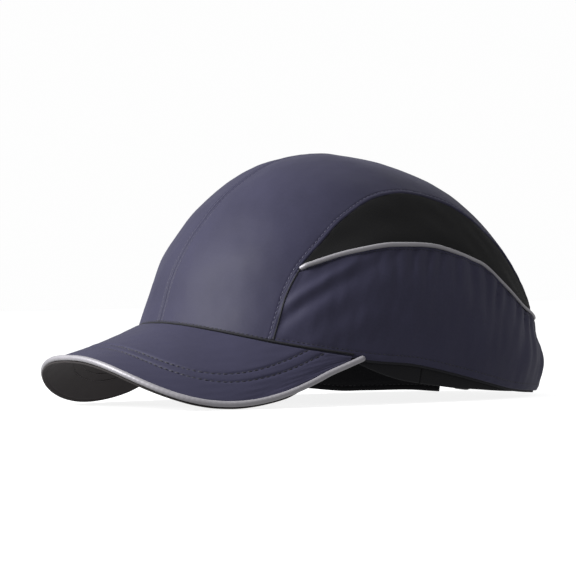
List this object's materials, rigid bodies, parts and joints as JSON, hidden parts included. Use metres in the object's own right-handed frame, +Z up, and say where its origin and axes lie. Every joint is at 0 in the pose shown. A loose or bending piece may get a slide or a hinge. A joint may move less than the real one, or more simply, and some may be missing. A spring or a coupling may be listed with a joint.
{
  "type": "bump cap",
  "caption": "Peaked bump cap of navy cloth with mesh side vents, reflective piping, a stiff short visor, a hook-and-loop rear size strap and a lift-out vented protective liner.",
  "frame": {"origin": "bottom centre of the bounding box: on the table under the middle of the cap, which rests on its visor edge and its rear rim", "axes": "-Y is the wearer's forward, along the visor; +X is the wearer's left; +Z is up"},
  "size_m": [0.1778, 0.2722, 0.1298],
  "materials": {
    "navy_cloth": "matte",
    "mesh": "matte",
    "reflective_piping": "satin",
    "lining": "matte",
    "sweatband": "matte",
    "foam": "matte",
    "label": "satin",
    "visor_board": "matte",
    "visor_underside": "matte",
    "ring_plastic": "satin",
    "hook_and_loop": "matte",
    "liner_plastic": "satin"
  },
  "bodies": {
    "root": {"crown_panel_left": "navy_cloth", "crown_panel_right": "navy_cloth", "mesh_panel_left": "mesh", "mesh_panel_right": "mesh", "side_panel_left": "navy_cloth", "side_panel_right": "navy_cloth", "side_piping_left": "reflective_piping", "side_piping_right": "reflective_piping", "centre_seam_tape": "lining", "seam_tape_left": "lining", "seam_tape_right": "lining", "hem_binding_left": "lining", "hem_binding_right": "lining", "rear_opening_binding": "navy_cloth", "sweatband_front": "sweatband", "sweatband_rear_left": "sweatband", "sweatband_rear_right": "sweatband", "brow_pad": "foam", "care_label": "label", "visor_top_cover": "navy_cloth", "visor_board": "visor_board", "visor_bottom_cover": "visor_underside", "visor_piping": "reflective_piping", "strap_ring": "ring_plastic", "ring_tab": "navy_cloth", "rear_strap": "navy_cloth", "strap_loop_patch": "hook_and_loop"},
    "strap_tail": {"strap_tail": "navy_cloth", "tail_hook_patch": "hook_and_loop"},
    "liner": {"liner_shell": "liner_plastic", "pad_front": "foam", "pad_side_left": "foam", "pad_side_right": "foam", "pad_rear": "foam", "pad_crown": "foam"}
  },
  "joints": [
    {"name": "liner_release", "type": "slide", "parent": "root", "child": "liner", "axis": [0, -0.247, -0.969], "range_m": [0, 0.12]},
    {"name": "tail_peel", "type": "hinge", "parent": "root", "child": "strap_tail", "pos_m": [-0.0264, 0.13343, 0.01332], "axis": [0.0421, 0.0651, 0.997], "range_deg": [0, 110]}
  ]
}
